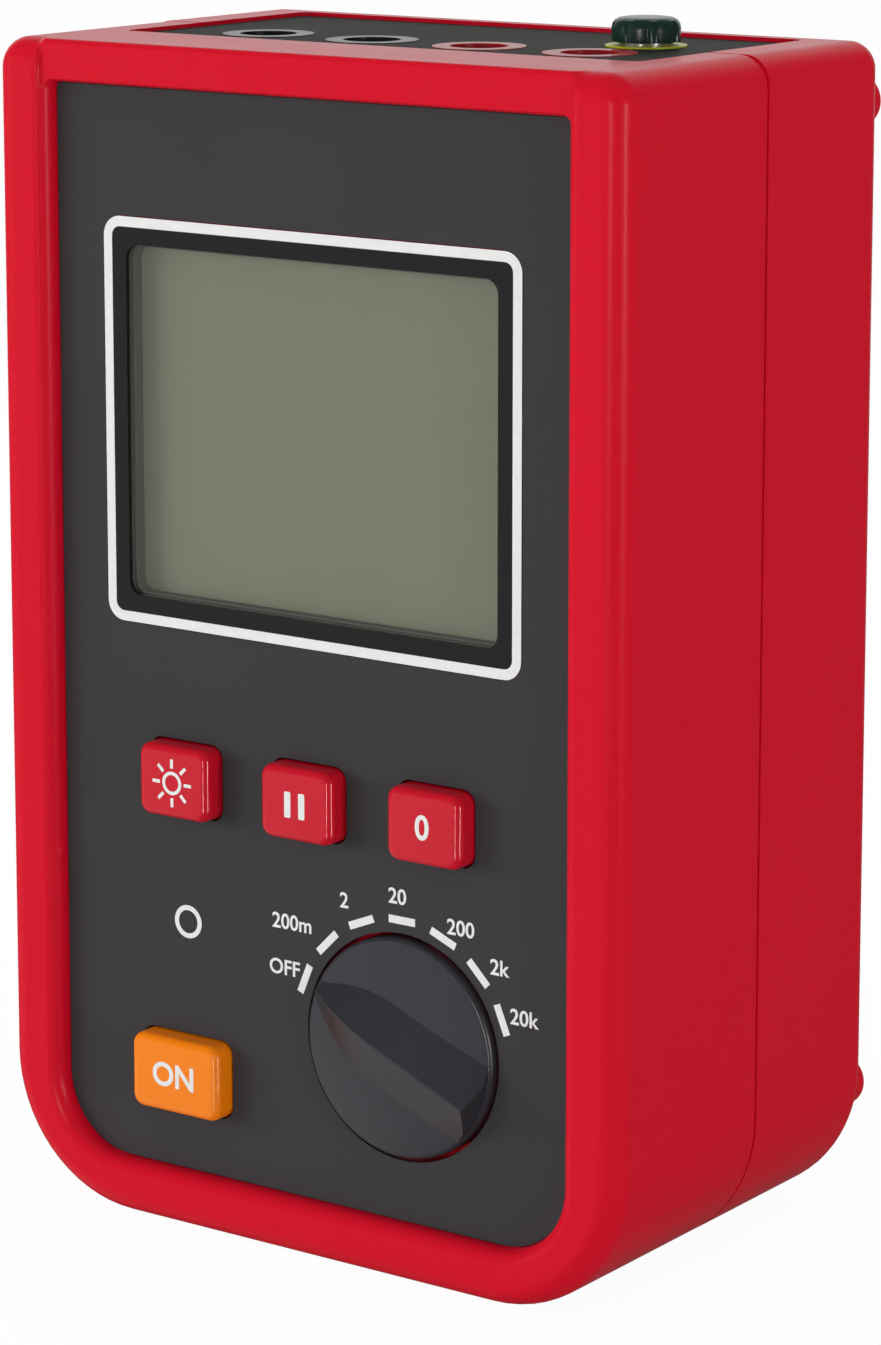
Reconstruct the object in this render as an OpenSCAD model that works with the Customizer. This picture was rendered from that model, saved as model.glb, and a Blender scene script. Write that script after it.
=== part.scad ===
// Portable micro ohmmeter: a two-shell moulded case with a sunk front panel, a large display,
// four push-buttons, a range knob, and a terminal plate with four sockets and a guard post on top.
// X runs to the right, Y from the front to the back, Z up. The origin is the centre of the base.

/* [Case] */
// Width of the case
case_w = 110; // [104:1:130]
// Height of the case
case_h = 175; // [172:1:200]
// Depth of the case without knob and feet
case_d = 68; // [67:1:80]
// Depth of the front shell, from the bezel's face to the seam
front_d = 36.5; // [36:0.5:38]
// Thickness of the moulded walls
wall = 2.6; // [2.2:0.1:3]
// Radius of the two bottom corners seen from the front
base_corner_r = 22; // [20:1:24]
// Radius of the two top corners seen from the front
top_corner_r = 4; // [3.6:0.1:5]
// Rounding of the bezel's outer edge
bezel_edge_r = 2.8; // [1.5:0.1:3]
// Rounding of the rear shell's edge
rear_edge_r = 3.5; // [2:0.1:3.5]
// Width and depth of the shadow groove along the seam
seam_groove = 0.5; // [0.3:0.1:0.6]

/* [Front panel] */
// Width of the dark panel
panel_w = 90.8; // [88:0.2:92]
// Height of the panel's lower edge above the base
panel_low = 8.4; // [7.5:0.1:9]
// Height of the panel's upper edge below the top of the case
panel_top_gap = 6.3; // [5.5:0.1:7]
// Radius of the panel's bottom corners
panel_corner_r = 11.5; // [9:0.5:13]
// Depth of the panel's face below the bezel
panel_sink = 3; // [2.4:0.1:3.4]
// Thickness of the panel
panel_t = 0.8; // [0.5:0.1:1]
// Thickness of the moulded floor behind the panel
floor_t = 2.2; // [1.8:0.1:2.6]
// Drop of the top bar below the side bars
top_bar_drop = 0.8; // [0.4:0.1:1.2]

/* [Display] */
// Outer width of the display frame
frame_w = 73.5; // [70:0.5:76]
// Outer height of the display frame
frame_h = 59.6; // [56:0.2:61]
// Share of the panel's free height that lies between the buttons and the display
frame_low_share = 0.356; // [0.3:0.002:0.4]
// Width of the display frame's rim
frame_rim = 4; // [3:0.1:4.6]
// Corner radius of the display frame
frame_r = 3; // [2:0.1:3.6]
// Thickness of the clear window
lens_t = 1.2; // [0.8:0.1:1.5]

/* [Push-buttons] */
// Width of a small button
key_w = 12.8; // [11:0.2:14]
// Height of a small button
key_h = 10.8; // [9:0.2:12]
// Spacing of the small buttons
key_pitch = 22.4; // [20:0.2:23]
// Share of the panel's free height that lies between the knob and the buttons
key_low_share = 0.244; // [0.2:0.002:0.3]
// Width of the test button
test_w = 16.2; // [14:0.2:17]
// Height of the test button
test_h = 11.4; // [10:0.2:12]
// Sideways place of the test button and of the lamp above it
test_x = -22.7; // [-24:0.1:-21]
// Height of the test button above the base
test_z = 23.4; // [22:0.2:25]
// How far a button stands out of the panel
key_proud = 3.5; // [2.5:0.1:4]
// Travel of a button
key_travel = 1.2; // [0.8:0.1:1.4]
// Gap round a button
key_gap = 0.3; // [0.2:0.05:0.4]
// Height of the test lamp above the base
lamp_z = 46.4; // [44:0.2:49]

/* [Range knob] */
// Radius of the knob
knob_r = 16.2; // [15:0.1:17]
// Sideways place of the knob
knob_x = 16.4; // [15:0.2:18]
// Height of the knob's axis above the base
knob_z = 34.3; // [33:0.1:36]
// Gap round the knob
knob_gap = 0.6; // [0.4:0.1:0.8]
// Height of the knob's crest above the panel
crest_h = 5.6; // [4:0.1:6.5]
// Dial angle of the first position, from the right-hand side
first_angle = 157.5; // [150:0.5:165]
// Radius of the knob's hub
hub_r = 4; // [3.5:0.1:4.5]

/* [Terminals] */
// Width of the terminal plate
plate_w = 90; // [86:0.5:92]
// Depth of the terminal plate, front to back
plate_d = 43.5; // [42:0.5:45]
// Distance of the plate's front edge from the bezel's face
plate_front = 18.5; // [18:0.1:19.5]
// Depth of the plate below the top of the case
plate_sink = 1.5; // [1:0.1:1.8]
// Thickness of the terminal plate
plate_t = 2.4; // [2:0.1:2.6]
// Spacing of the sockets, the usual one for 4 mm plugs
socket_pitch = 19; // [18.8:0.1:19.4]
// Distance of the sockets' row from the bezel's face
socket_row = 31.5; // [30.5:0.1:32.5]
// Radius of a socket's flange
flange_r = 6.8; // [6.4:0.1:7]
// Radius of the contact bore, for a 4 mm plug
contact_r = 2; // [1.95:0.01:2.05]
// Depth of the contact bore
contact_depth = 20; // [18:0.5:22]
// Distance of the guard post from the bezel's face
post_row = 46; // [45.5:0.1:47]
// Radius of the guard post's fluted nut
post_nut_r = 5; // [4.6:0.1:5.4]
// Height of the guard post's fluted nut
post_nut_h = 4.2; // [3.6:0.1:5]

/* [Battery bay] */
// Diameter of a cell
cell_d = 14.2; // [13.8:0.1:14.3]
// Length of a cell
cell_l = 50; // [48:0.5:50.5]
// Height of the battery bay's floor above the base
bay_low = 36; // [34:0.5:38]

/* [Hidden] */
$fn = 64;
over = 1;

// Depth places, from the front to the back
front_y = -case_d / 2;
rear_y = case_d / 2;
seam_y = front_y + front_d;
panel_y = front_y + panel_sink;
floor_y = panel_y + panel_t;
floor_back_y = floor_y + floor_t;
inner_back_y = rear_y - wall;

// Fits
slip = 0.15;
touch = 0.05;
run = 0.06;

// Case details
lip_t = 1.2;
lip_h = 2;
bezel_flare = 1.4;
panel_top_r = 1;
panel_top = case_h - panel_top_gap;
min_r = 0.5;

// Case screws, their columns and the domed rear feet they pass through
screw_side = 5.5;
screw_drop = 9;
screw_x = case_w / 2 - screw_side;
screw_low = 18.5;
screw_high = case_h - screw_drop;
column_r = 3.6;
foot_r = 4;
foot_h = 2.5;
foot_dome = 1;
screw_r = 1.45;
screw_head_r = 2.7;
screw_head_h = 2;
screw_sink = 7;
screw_bite = 14;
pilot_r = screw_r + touch;
passage_r = screw_r + slip;
counterbore_r = screw_head_r + slip;

// Rows up the panel: the knob, the small buttons and the display share out the free height
well_r = knob_r + knob_gap;
free_h = panel_top - knob_z - well_r - key_h - frame_h;
key_row = knob_z + well_r + free_h * key_low_share + key_h / 2;
frame_mid = key_row + key_h / 2 + free_h * frame_low_share + frame_h / 2;

// Display stack, front to back
lens_seat = 1.6;
lens_w = frame_w - 2 * lens_seat;
lens_h = frame_h - 2 * lens_seat;
opening_w = frame_w - 2 * frame_rim;
opening_h = frame_h - 2 * frame_rim;
lcd_t = 2.8;
lcd_y = floor_back_y + slip;
lcd_rim = 2;
backlight_t = 3;
holder_wall = 1.5;
holder_lip = 1;
strip_w = 2.4;
holder_w = opening_w + 2 * lcd_rim + 2 * slip + 2 * holder_wall;
holder_h = opening_h + 2 * lcd_rim + 2 * slip + 2 * holder_wall;

// Main board and what stands on it
board_t = 1.6;
board_gap = 9.9;
board_y = floor_back_y + board_gap;
board_back_y = board_y + board_t;
board_side_gap = 1.2;
board_w = case_w - 2 * wall - 2 * board_side_gap;
board_low = 12;
board_drop = 1.8;
board_high = frame_mid + frame_h / 2 - board_drop;
column_gap = 0.8;
board_corner_r = 14;
board_top_r = 3;
board_post_r = 3.2;
board_screw_r = 1.2;
board_screw_head_r = 2.6;
board_screw_head_h = 1.6;
board_screw_l = 7;
board_post_x = (holder_w / 2 + case_w / 2 - wall) / 2;
board_post_low = 31;
board_post_drop = 5;
board_post_high = board_high - board_post_drop;
board_post_mid = (board_post_low + board_post_high) / 2;

// Buttons
key_r = 1.8;
key_edge = 0.9;
key_flange = 1.1;
key_flange_t = 1.2;
key_stop_gap = 0.1;
key_front_y = panel_y - key_proud;
key_flange_y = floor_back_y + key_stop_gap;
key_back_y = key_flange_y + key_flange_t;
plunger_r = 1.7;
plunger_sink = 2.6;
switch_w = 6;
switch_h = 3.5;
switch_y = board_y - switch_h;
plunger_reach = 1.6;
plunger_end_y = switch_y + plunger_reach;
switch_pit = plunger_end_y + key_travel + key_gap;
guide_wall = 1.2;
guide_gap = 0.4;

// Range knob, its well and the switch behind it
well_drop = 0.6;
well_y = floor_back_y + well_drop;
well_t = 2;
well_back_y = well_y + well_t;
disc_back_y = well_y - knob_gap;
disc_rise = 1.2;
disc_y = panel_y - disc_rise;
disc_edge = 0.8;
dish_depth = 0.9;
dish_rim = 2.4;
tip_inset = 1;
end_inset = 2.2;
tip_reach = knob_r - tip_inset;
end_reach = knob_r - end_inset;
end_foot = 0.9;
tip_half = 0.5;
end_half = 6.4;
crest_half = 0.25;
tip_h = 1.5;
rotor_r = 10.5;
rotor_t = 2.6;
rotor_gap = 1;
rotor_y = well_back_y + rotor_gap;
rotor_back_y = rotor_y + rotor_t;
hub_flat = 1;
hub_y = rotor_y + rotor_t;
wiper_l = 6;
wiper_w = 1.6;
wiper_t = 0.5;
wiper_in = 3.5;
rotor_screw_r = 1.4;
rotor_screw_l = 8;
rotor_head_r = 3;
rotor_head_h = 1.6;
rotor_hole_gap = 1.2;
ball_r = 1.2;
ball_gap = 0.1;
ring_gap = 1.6;
ring_wall = 2.4;
ring_in_r = rotor_r + ring_gap;
ring_r = ring_in_r + ring_wall;
notch_r = 1.3;
notch_count = 16;
position_step = 360 / notch_count;

// Test lamp
pipe_r = 1.5;
lamp_r = 1.5;
lamp_h = 3.4;
lamp_base_r = 1.9;
lamp_base_t = 0.8;
pipe_y = board_y - lamp_h - key_gap;

// Terminal plate and what it carries
plate_y = front_y + plate_front;
plate_r = 1.5;
plate_top_z = case_h - plate_sink;
plate_low_z = plate_top_z - plate_t;
ledge = 2;
socket_y = front_y + socket_row;
socket_count = 4;
flange_t = 1;
socket_body_r = 5.4;
shroud_r = 4.2;
shroud_depth = 3.2;
socket_l = 25;
contact_wall = 0.8;
contact_top_z = plate_top_z + flange_t - shroud_depth;
contact_low_z = contact_top_z - contact_depth;
socket_low_z = plate_top_z - socket_l;
tail_r = 1.2;
tail_l = 5;
board2_t = 1.6;
board2_w = 78;
board2_front = 6.5;
board2_back = 23;
post_x = (socket_count - 1) / 2 * socket_pitch;
post_y = front_y + post_row;
stud_r = 2;
stud_rise = 4;
stud_l = 17;
collar_r = 5.9;
collar_t = 1.1;
washer_r = 4;
washer_t = 0.5;
washer_z = plate_top_z + collar_t;
nut_z = washer_z + washer_t;
flute_count = 8;
flute_r = 1.1;
flute_sink_share = 0.55;
nut_edge = 0.6;
nut_pit = 0.6;
nut_cap = 1.6;
thread_gap = 0.08;
locknut_r = 3.8;
locknut_h = 2.4;

// Battery bay: two layers of four cells, standing side by side
layer_count = 2;
row_count = 4;
cell_gap = 0.3;
cell_pitch = cell_d + cell_gap;
contact_t = 0.6;
contact_room = 2.5;
bay_wall = 1.6;
bay_w = row_count * cell_pitch + cell_gap;
bay_h = cell_l + 2 * contact_room;
bay_high = bay_low + bay_h;
door_t = 2;
door_edge = 2.4;
door_r = 3;
door_w = bay_w + 2 * door_edge;
door_margin = 7;
door_low = bay_low - door_margin;
door_high = bay_high + door_margin;
door_h = door_high - door_low;
door_mid = (door_low + door_high) / 2;
bay_mid = (bay_low + bay_high) / 2;
door_y = rear_y - door_t;
door_rib = 0.7;
door_rib_count = 5;
door_rib_pitch = 4.5;
door_rib_reach_share = 0.62;
bay_back_y = door_y - slip;
bay_front_y = bay_back_y - layer_count * cell_pitch - cell_gap;
door_screw_drop = 3.4;
door_screw_side = 5.5;
door_screw_z = door_high - door_screw_drop;
door_screw_x = door_w / 2 - door_screw_side;
door_screw_r = 1.2;
door_screw_l = 7;
door_screw_head_r = 2.2;
door_screw_head_h = 1.2;
door_boss_r = 2.6;
cap_r = 2.8;
cap_h = 1;

// Board-mounted components
header_w = 20;
header_h = 5;
header_drop = 12;
header_z = board_high - header_drop;
shunt_r = 2.2;
shunt_l = 18;
shunt_z = 70;
shunt_side = 21;
shunt_x = shunt_side - board_w / 2;
sink_w = 40;
sink_h = 24;
sink_drop = 40;
sink_z = board_high - sink_drop;
sink_base = 2;
sink_fin = 1.2;
sink_fin_h = 7;
sink_fin_count = 8;
sink_x = -12;
transistor_w = 10;
transistor_h = 15;
transistor_t = 4.4;
buzzer_r = 6;
buzzer_h = 7;
buzzer_side = 19;
buzzer_drop = 42;
buzzer_x = board_w / 2 - buzzer_side;
buzzer_z = board_high - buzzer_drop;

// Solid between two depths, drawn from its outline seen from the front
module slab(y0, y1) {
    translate([0, y1, 0]) rotate([90, 0, 0]) linear_extrude(y1 - y0) children();
}

// Round bar along the depth
module bar_y(r, y0, y1, x = 0, z = 0) {
    translate([x, y1, z]) rotate([90, 0, 0]) cylinder(r = r, h = y1 - y0);
}

// Outline with one radius at its two lower corners and another at the two upper ones
module shield(w, z0, z1, r_low, r_high) {
    translate([-w / 2, z0 + r_low]) square([w, z1 - z0 - r_low - r_high]);
    translate([-w / 2 + r_low, z0]) square([w - 2 * r_low, r_low + r_low / 2]);
    translate([-w / 2 + r_high, z1 - r_high - r_high / 2]) square([w - 2 * r_high, r_high + r_high / 2]);
    for (side = [-1, 1]) {
        translate([side * (w / 2 - r_low), z0 + r_low]) circle(r_low);
        translate([side * (w / 2 - r_high), z1 - r_high]) circle(r_high);
    }
}

// Rounded rectangle round a centre
module soft_rect(w, h, r, x = 0, z = 0) {
    translate([x, 0]) shield(w, z - h / 2, z + h / 2, r, r);
}

// The case's outline, drawn in by an inset
module case_outline(inset = 0) {
    shield(
        case_w - 2 * inset, inset, case_h - inset,
        base_corner_r - inset, max(top_corner_r - inset, min_r)
    );
}

// What a rounding takes off a square edge: u points out of the case, v into its depth
module edge_waste(r) {
    difference() {
        translate([-r, -over]) square([r + over, r + over]);
        translate([-r, r]) circle(r);
    }
}

// Rounding along the sides and the bottom of the case's front edge, and along its top if asked
module rim_waste(r, with_top) {
    low = base_corner_r;
    top_end = with_top ? case_h - top_corner_r : case_h + over;
    for (side = [0, 1]) mirror([side, 0, 0]) {
        translate([case_w / 2, 0, low]) linear_extrude(top_end - low) edge_waste(r);
        translate([case_w / 2 - low, 0, low]) rotate([-90, 0, 0])
            rotate_extrude(angle = 90) translate([low, 0]) edge_waste(r);
        if (with_top)
            translate([case_w / 2 - top_corner_r, 0, case_h - top_corner_r]) rotate([-90, 0, 0])
                rotate_extrude(angle = -90) translate([top_corner_r, 0]) edge_waste(r);
    }
    translate([low - case_w / 2, 0, 0]) rotate([0, 90, 0])
        linear_extrude(case_w - 2 * low) edge_waste(r);
    if (with_top)
        translate([case_w / 2 - top_corner_r, 0, case_h]) rotate([0, -90, 0])
            linear_extrude(case_w - 2 * top_corner_r) edge_waste(r);
}

// The four corners that the case screws pass through
module at_corners() {
    for (x = [-screw_x, screw_x], z = [screw_low, screw_high]) translate([x, 0, z]) children();
}

module at_board_posts() {
    for (x = [-board_post_x, board_post_x], z = [board_post_low, board_post_mid, board_post_high])
        translate([x, 0, z]) children();
}

// Places of the three small buttons and of the test button
key_xs = [-key_pitch, 0, key_pitch];

module panel_outline(grow = 0) {
    shield(
        panel_w + 2 * grow, panel_low - grow, panel_top + grow,
        panel_corner_r + grow, panel_top_r + grow
    );
}

// Openings of the panel and of the floor behind it
module key_openings(grow) {
    for (x = key_xs) soft_rect(key_w + 2 * grow, key_h + 2 * grow, key_r + grow, x, key_row);
    soft_rect(test_w + 2 * grow, test_h + 2 * grow, key_r + grow, test_x, test_z);
}

// Recess and opening for the terminal plate, shared by both shells
module plate_pocket() {
    translate([0, plate_y, 0]) {
        translate([0, 0, plate_low_z])
            linear_extrude(plate_sink + plate_t + over) plate_outline(slip);
        translate([0, 0, plate_low_z - ledge - wall])
            linear_extrude(ledge + wall + over) plate_outline(-ledge);
    }
}

module plate_outline(grow) {
    w = plate_w + 2 * grow;
    d = plate_d + 2 * grow;
    r = plate_r + grow > min_r ? plate_r + grow : min_r;
    translate([0, plate_d / 2]) for (a = [0, 1]) {
        square([w - 2 * r * a, d - 2 * r * (1 - a)], center = true);
        for (side = [-1, 1])
            translate([side * (w / 2 - r), (a * 2 - 1) * (d / 2 - r)]) circle(r);
    }
}

// Wall under the plate's edge, tied to the top wall
module plate_ledge(y0, y1) {
    intersection() {
        translate([0, plate_y, plate_low_z - ledge])
            linear_extrude(case_h - wall - plate_low_z + ledge) plate_outline(ledge);
        translate([-plate_w, y0, 0]) cube([2 * plate_w, y1 - y0, case_h]);
    }
}

module front_shell() {
    color("#C41A2E") difference() {
        union() {
            difference() {
                slab(front_y, seam_y) case_outline();
                slab(floor_back_y, seam_y + over) case_outline(wall);
            }
            plate_ledge(front_y + wall, seam_y - lip_h - slip);
            bar_y(well_r + wall / 2, floor_y, well_back_y, knob_x, knob_z);
            intersection() {
                at_corners() bar_y(column_r, floor_y, seam_y);
                slab(front_y, seam_y) case_outline(wall / 2);
            }
            at_board_posts() bar_y(board_post_r, floor_y, board_y);
            slab(floor_y, floor_back_y + key_flange_t) difference() {
                key_openings(key_flange + guide_gap + guide_wall);
                key_openings(key_flange + guide_gap);
            }
        }
        translate([0, front_y, 0]) rim_waste(bezel_edge_r, false);
        slab(front_y - over, floor_y) panel_outline();
        hull() {
            slab(front_y + bezel_flare, front_y + bezel_flare + touch) panel_outline();
            slab(front_y - touch, front_y) panel_outline(bezel_flare);
        }
        translate([-panel_w / 2 - bezel_flare, front_y - over, panel_top - over])
            cube([panel_w + 2 * bezel_flare, over + top_bar_drop, panel_top_gap + 2 * over]);
        slab(front_y, floor_back_y + over) soft_rect(opening_w, opening_h, min_r, 0, frame_mid);
        slab(front_y, floor_back_y + over) key_openings(key_gap);
        bar_y(well_r, front_y, well_y, knob_x, knob_z);
        bar_y(hub_r + run, front_y, well_back_y + over, knob_x, knob_z);
        bar_y(pipe_r + run, front_y, floor_back_y + over, test_x, lamp_z);
        plate_pocket();
        at_corners() bar_y(pilot_r, seam_y - screw_bite, seam_y + over);
        at_board_posts() bar_y(board_screw_r + touch, board_y - board_screw_l, board_y + over);
        slab(seam_y - lip_h - slip, seam_y + over) case_outline(wall - lip_t - slip);
        slab(seam_y - seam_groove, seam_y + over) difference() {
            case_outline(-over);
            case_outline(seam_groove);
        }
    }
}

// Domed foot moulded on the rear face
module foot() {
    rotate([-90, 0, 0]) rotate_extrude() {
        square([foot_r, foot_h - foot_dome]);
        square([foot_r - foot_dome, foot_h]);
        translate([foot_r - foot_dome, foot_h - foot_dome]) circle(foot_dome);
    }
}

module rear_shell() {
    color("#B81A2C") difference() {
        union() {
            difference() {
                union() {
                    slab(seam_y, rear_y) case_outline();
                    slab(seam_y - lip_h, seam_y + wall) case_outline(wall - lip_t);
                }
                slab(seam_y - lip_h - over, inner_back_y) case_outline(wall);
                translate([0, rear_y, 0]) mirror([0, 1, 0]) rim_waste(rear_edge_r, true);
            }
            plate_ledge(seam_y + slip, inner_back_y);
            at_corners() bar_y(foot_r, rear_y - rear_edge_r, rear_y);
            at_corners() translate([0, rear_y, 0]) foot();
            intersection() {
                at_corners() bar_y(column_r, seam_y, rear_y - touch);
                slab(seam_y, rear_y) case_outline(wall / 2);
            }
            slab(bay_front_y - bay_wall, inner_back_y + touch)
                soft_rect(bay_w + 2 * bay_wall, bay_h + 2 * bay_wall, min_r, 0, bay_mid);
            for (side = [-1, 1])
                bar_y(door_boss_r, door_y - door_screw_l, door_y, side * door_screw_x, door_screw_z);
        }
        slab(bay_front_y, rear_y + over)
            soft_rect(bay_w, bay_h, min_r, 0, bay_mid);
        slab(door_y, rear_y + over)
            soft_rect(door_w + 2 * slip, door_h + 2 * slip, door_r, 0, door_mid);
        for (side = [-1, 1])
            bar_y(
                door_screw_r + touch, door_y - door_screw_l + touch, door_y + over,
                side * door_screw_x, door_screw_z
            );
        at_corners() bar_y(passage_r, seam_y - lip_h - over, rear_y);
        at_corners() bar_y(counterbore_r, rear_y - screw_sink, rear_y + foot_h + over);
        plate_pocket();
        translate([-plate_w / 2 + ledge, seam_y - lip_h - over, plate_low_z - ledge - wall])
            cube([plate_w - 2 * ledge, lip_h + over, ledge + wall + plate_t]);
    }
}

module front_panel() {
    color("#414042") difference() {
        slab(panel_y, floor_y) panel_outline(-slip);
        slab(panel_y - over, floor_y + over) {
            soft_rect(frame_w + 2 * slip, frame_h + 2 * slip, frame_r + slip, 0, frame_mid);
            key_openings(key_gap);
        }
        bar_y(well_r, panel_y - over, floor_y + over, knob_x, knob_z);
        bar_y(pipe_r + run, panel_y - over, floor_y + over, test_x, lamp_z);
    }
}

module display_frame() {
    color("#151517") difference() {
        slab(panel_y, floor_y) soft_rect(frame_w, frame_h, frame_r, 0, frame_mid);
        slab(panel_y - over, floor_y + over)
            soft_rect(opening_w, opening_h, min_r, 0, frame_mid);
        slab(panel_y + panel_t / 2, floor_y + over)
            soft_rect(lens_w + 2 * slip, lens_h + 2 * slip, min_r + slip, 0, frame_mid);
    }
}

module window_lens() {
    color("#B9C2BE", 0.35) {
        slab(panel_y + panel_t / 2 + touch, floor_y) soft_rect(lens_w, lens_h, min_r, 0, frame_mid);
        slab(floor_y - touch, panel_y + panel_t / 2 + lens_t)
            soft_rect(opening_w - 2 * slip, opening_h - 2 * slip, min_r, 0, frame_mid);
    }
}

module lcd_glass() {
    color("#75786A") slab(lcd_y, lcd_y + lcd_t)
        soft_rect(opening_w + 2 * lcd_rim, opening_h + 2 * lcd_rim, min_r, 0, frame_mid);
}

// The holder clips round the glass and its backlight and stands on the board
module lcd_holder() {
    w = holder_w - 2 * holder_wall;
    h = holder_h - 2 * holder_wall;
    color("#26282A") difference() {
        slab(lcd_y, board_y) soft_rect(holder_w, holder_h, min_r, 0, frame_mid);
        slab(lcd_y - over, lcd_y + lcd_t + backlight_t) soft_rect(w, h, min_r, 0, frame_mid);
        slab(lcd_y, board_y + over)
            soft_rect(w - 2 * holder_lip, h - 2 * holder_lip, min_r, 0, frame_mid);
    }
}

module lcd_backlight() {
    color("#E9EBE6") slab(lcd_y + lcd_t + touch, lcd_y + lcd_t + backlight_t - touch)
        soft_rect(opening_w + 2 * lcd_rim, opening_h + 2 * lcd_rim, min_r, 0, frame_mid);
}

// Elastomer strips that join the glass to the board, one above and one below the backlight's stem
module lcd_contact_strips() {
    h = opening_h + 2 * lcd_rim;
    color("#D8A6A0") for (side = [-1, 1])
        slab(lcd_y + lcd_t + backlight_t, board_y - touch)
            soft_rect(opening_w, strip_w, min_r, 0, frame_mid + side * (h / 2 - holder_lip - strip_w));
}

module terminal_plate() {
    color("#32332D") difference() {
        translate([0, plate_y, plate_low_z]) linear_extrude(plate_t) plate_outline(0);
        for (i = [0:socket_count - 1]) translate([socket_x(i), socket_y, plate_low_z - over])
            cylinder(r = socket_body_r + slip, h = plate_t + 2 * over);
        translate([post_x, post_y, plate_low_z - over])
            cylinder(r = stud_r + slip, h = plate_t + 2 * over);
    }
}

function socket_x(i) = (i - (socket_count - 1) / 2) * socket_pitch;

// Insulated socket, flange up, with a shroud round the mouth of its contact
module socket(i) {
    translate([socket_x(i), socket_y, 0]) rotate_extrude() difference() {
        union() {
            translate([0, plate_top_z]) square([flange_r, flange_t]);
            translate([0, socket_low_z]) square([socket_body_r, socket_l + flange_t]);
        }
        translate([0, contact_top_z]) square([shroud_r, shroud_depth + over]);
        translate([0, socket_low_z - over])
            square([contact_r + contact_wall + touch, socket_l + over]);
    }
}

// Brass contact: a bored sleeve with a solder tail
module contact(i) {
    translate([socket_x(i), socket_y, 0]) rotate_extrude() difference() {
        union() {
            translate([0, socket_low_z])
                square([contact_r + contact_wall, contact_top_z - socket_low_z]);
            translate([0, socket_low_z - tail_l]) square([tail_r, tail_l + touch]);
        }
        translate([0, contact_low_z]) square([contact_r, contact_depth + over]);
    }
}

module c1_socket() { color("#1B1B1C") socket(0); }
module p1_socket() { color("#1B1B1C") socket(1); }
module p2_socket() { color("#B01524") socket(2); }
module c2_socket() { color("#B01524") socket(3); }
module c1_contact() { color("#C9A227") contact(0); }
module p1_contact() { color("#C9A227") contact(1); }
module p2_contact() { color("#C9A227") contact(2); }
module c2_contact() { color("#C9A227") contact(3); }

module guard_post_stud() {
    color("#C9CCCE") translate([post_x, post_y, 0]) {
        translate([0, 0, plate_top_z - stud_l]) cylinder(r = stud_r, h = stud_l + stud_rise);
    }
}

module guard_post_collar() {
    color("#C8C820") translate([post_x, post_y, plate_top_z]) difference() {
        cylinder(r = collar_r, h = collar_t);
        translate([0, 0, -over]) cylinder(r = stud_r + slip, h = collar_t + 2 * over);
    }
}

module guard_post_washer() {
    color("#C9CCCE") translate([post_x, post_y, washer_z]) difference() {
        cylinder(r = washer_r, h = washer_t - touch);
        translate([0, 0, -over]) cylinder(r = stud_r + thread_gap, h = washer_t + 2 * over);
    }
}

// Fluted thumb nut with a sunk centre
module guard_post_nut() {
    color("#14352C") translate([post_x, post_y, nut_z]) difference() {
        rotate_extrude() {
            square([post_nut_r - nut_edge, post_nut_h]);
            square([post_nut_r, post_nut_h - nut_edge]);
            translate([post_nut_r - nut_edge, post_nut_h - nut_edge]) circle(nut_edge);
        }
        for (i = [0:flute_count - 1]) rotate([0, 0, i * 360 / flute_count])
            translate([post_nut_r + flute_r * flute_sink_share, 0, -over])
                cylinder(r = flute_r, h = post_nut_h + 2 * over);
        translate([0, 0, -over]) cylinder(r = stud_r + thread_gap, h = post_nut_h - nut_cap + over);
        translate([0, 0, post_nut_h - nut_pit]) cylinder(r = stud_r + nut_pit, h = nut_pit + over);
    }
}

module guard_post_locknut() {
    color("#C9CCCE") translate([post_x, post_y, plate_low_z - locknut_h]) difference() {
        cylinder(r = locknut_r, h = locknut_h, $fn = 6);
        translate([0, 0, -over]) cylinder(r = stud_r + touch, h = locknut_h + 2 * over, $fn = 32);
    }
}

// Board that gathers the solder tails under the sockets
module terminal_board() {
    color("#1E5B34") translate([0, 0, socket_low_z - board2_t]) difference() {
        translate([-board2_w / 2, socket_y - board2_front, 0])
            cube([board2_w, board2_front + board2_back, board2_t]);
        for (i = [0:socket_count - 1]) translate([socket_x(i), socket_y, -over])
            cylinder(r = tail_r + touch, h = board2_t + 2 * over);
        translate([post_x, post_y, -over])
            cylinder(r = stud_r + slip, h = board2_t + 2 * over);
    }
}

// Moulded button: a softly edged cap on a flange that stops behind the floor
module button(w, h, x, z) {
    difference() {
        union() {
            hull() {
                slab(key_front_y, key_front_y + touch)
                    soft_rect(w - 2 * key_edge, h - 2 * key_edge, key_r, x, z, $fn = 32);
                slab(key_front_y + key_edge, key_front_y + key_edge + touch)
                    soft_rect(w, h, key_r, x, z, $fn = 32);
            }
            slab(key_front_y + key_edge, key_back_y) soft_rect(w, h, key_r, x, z);
            slab(key_flange_y, key_back_y)
                soft_rect(w + 2 * key_flange, h + 2 * key_flange, key_r + key_flange, x, z);
        }
        bar_y(plunger_r + touch, key_back_y - plunger_sink, key_back_y + over, x, z);
    }
}

module plunger(x, z) {
    bar_y(plunger_r, key_back_y - plunger_sink, plunger_end_y, x, z);
}

module light_button() { color("#C41A2E") button(key_w, key_h, key_xs[0], key_row); }
module hold_button() { color("#C41A2E") button(key_w, key_h, key_xs[1], key_row); }
module zero_button() { color("#C41A2E") button(key_w, key_h, key_xs[2], key_row); }
module test_button() { color("#FF8414") button(test_w, test_h, test_x, test_z); }
module light_plunger() { color("#3B2A20") plunger(key_xs[0], key_row); }
module hold_plunger() { color("#3B2A20") plunger(key_xs[1], key_row); }
module zero_plunger() { color("#3B2A20") plunger(key_xs[2], key_row); }
module test_plunger() { color("#3B2A20") plunger(test_x, test_z); }

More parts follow.
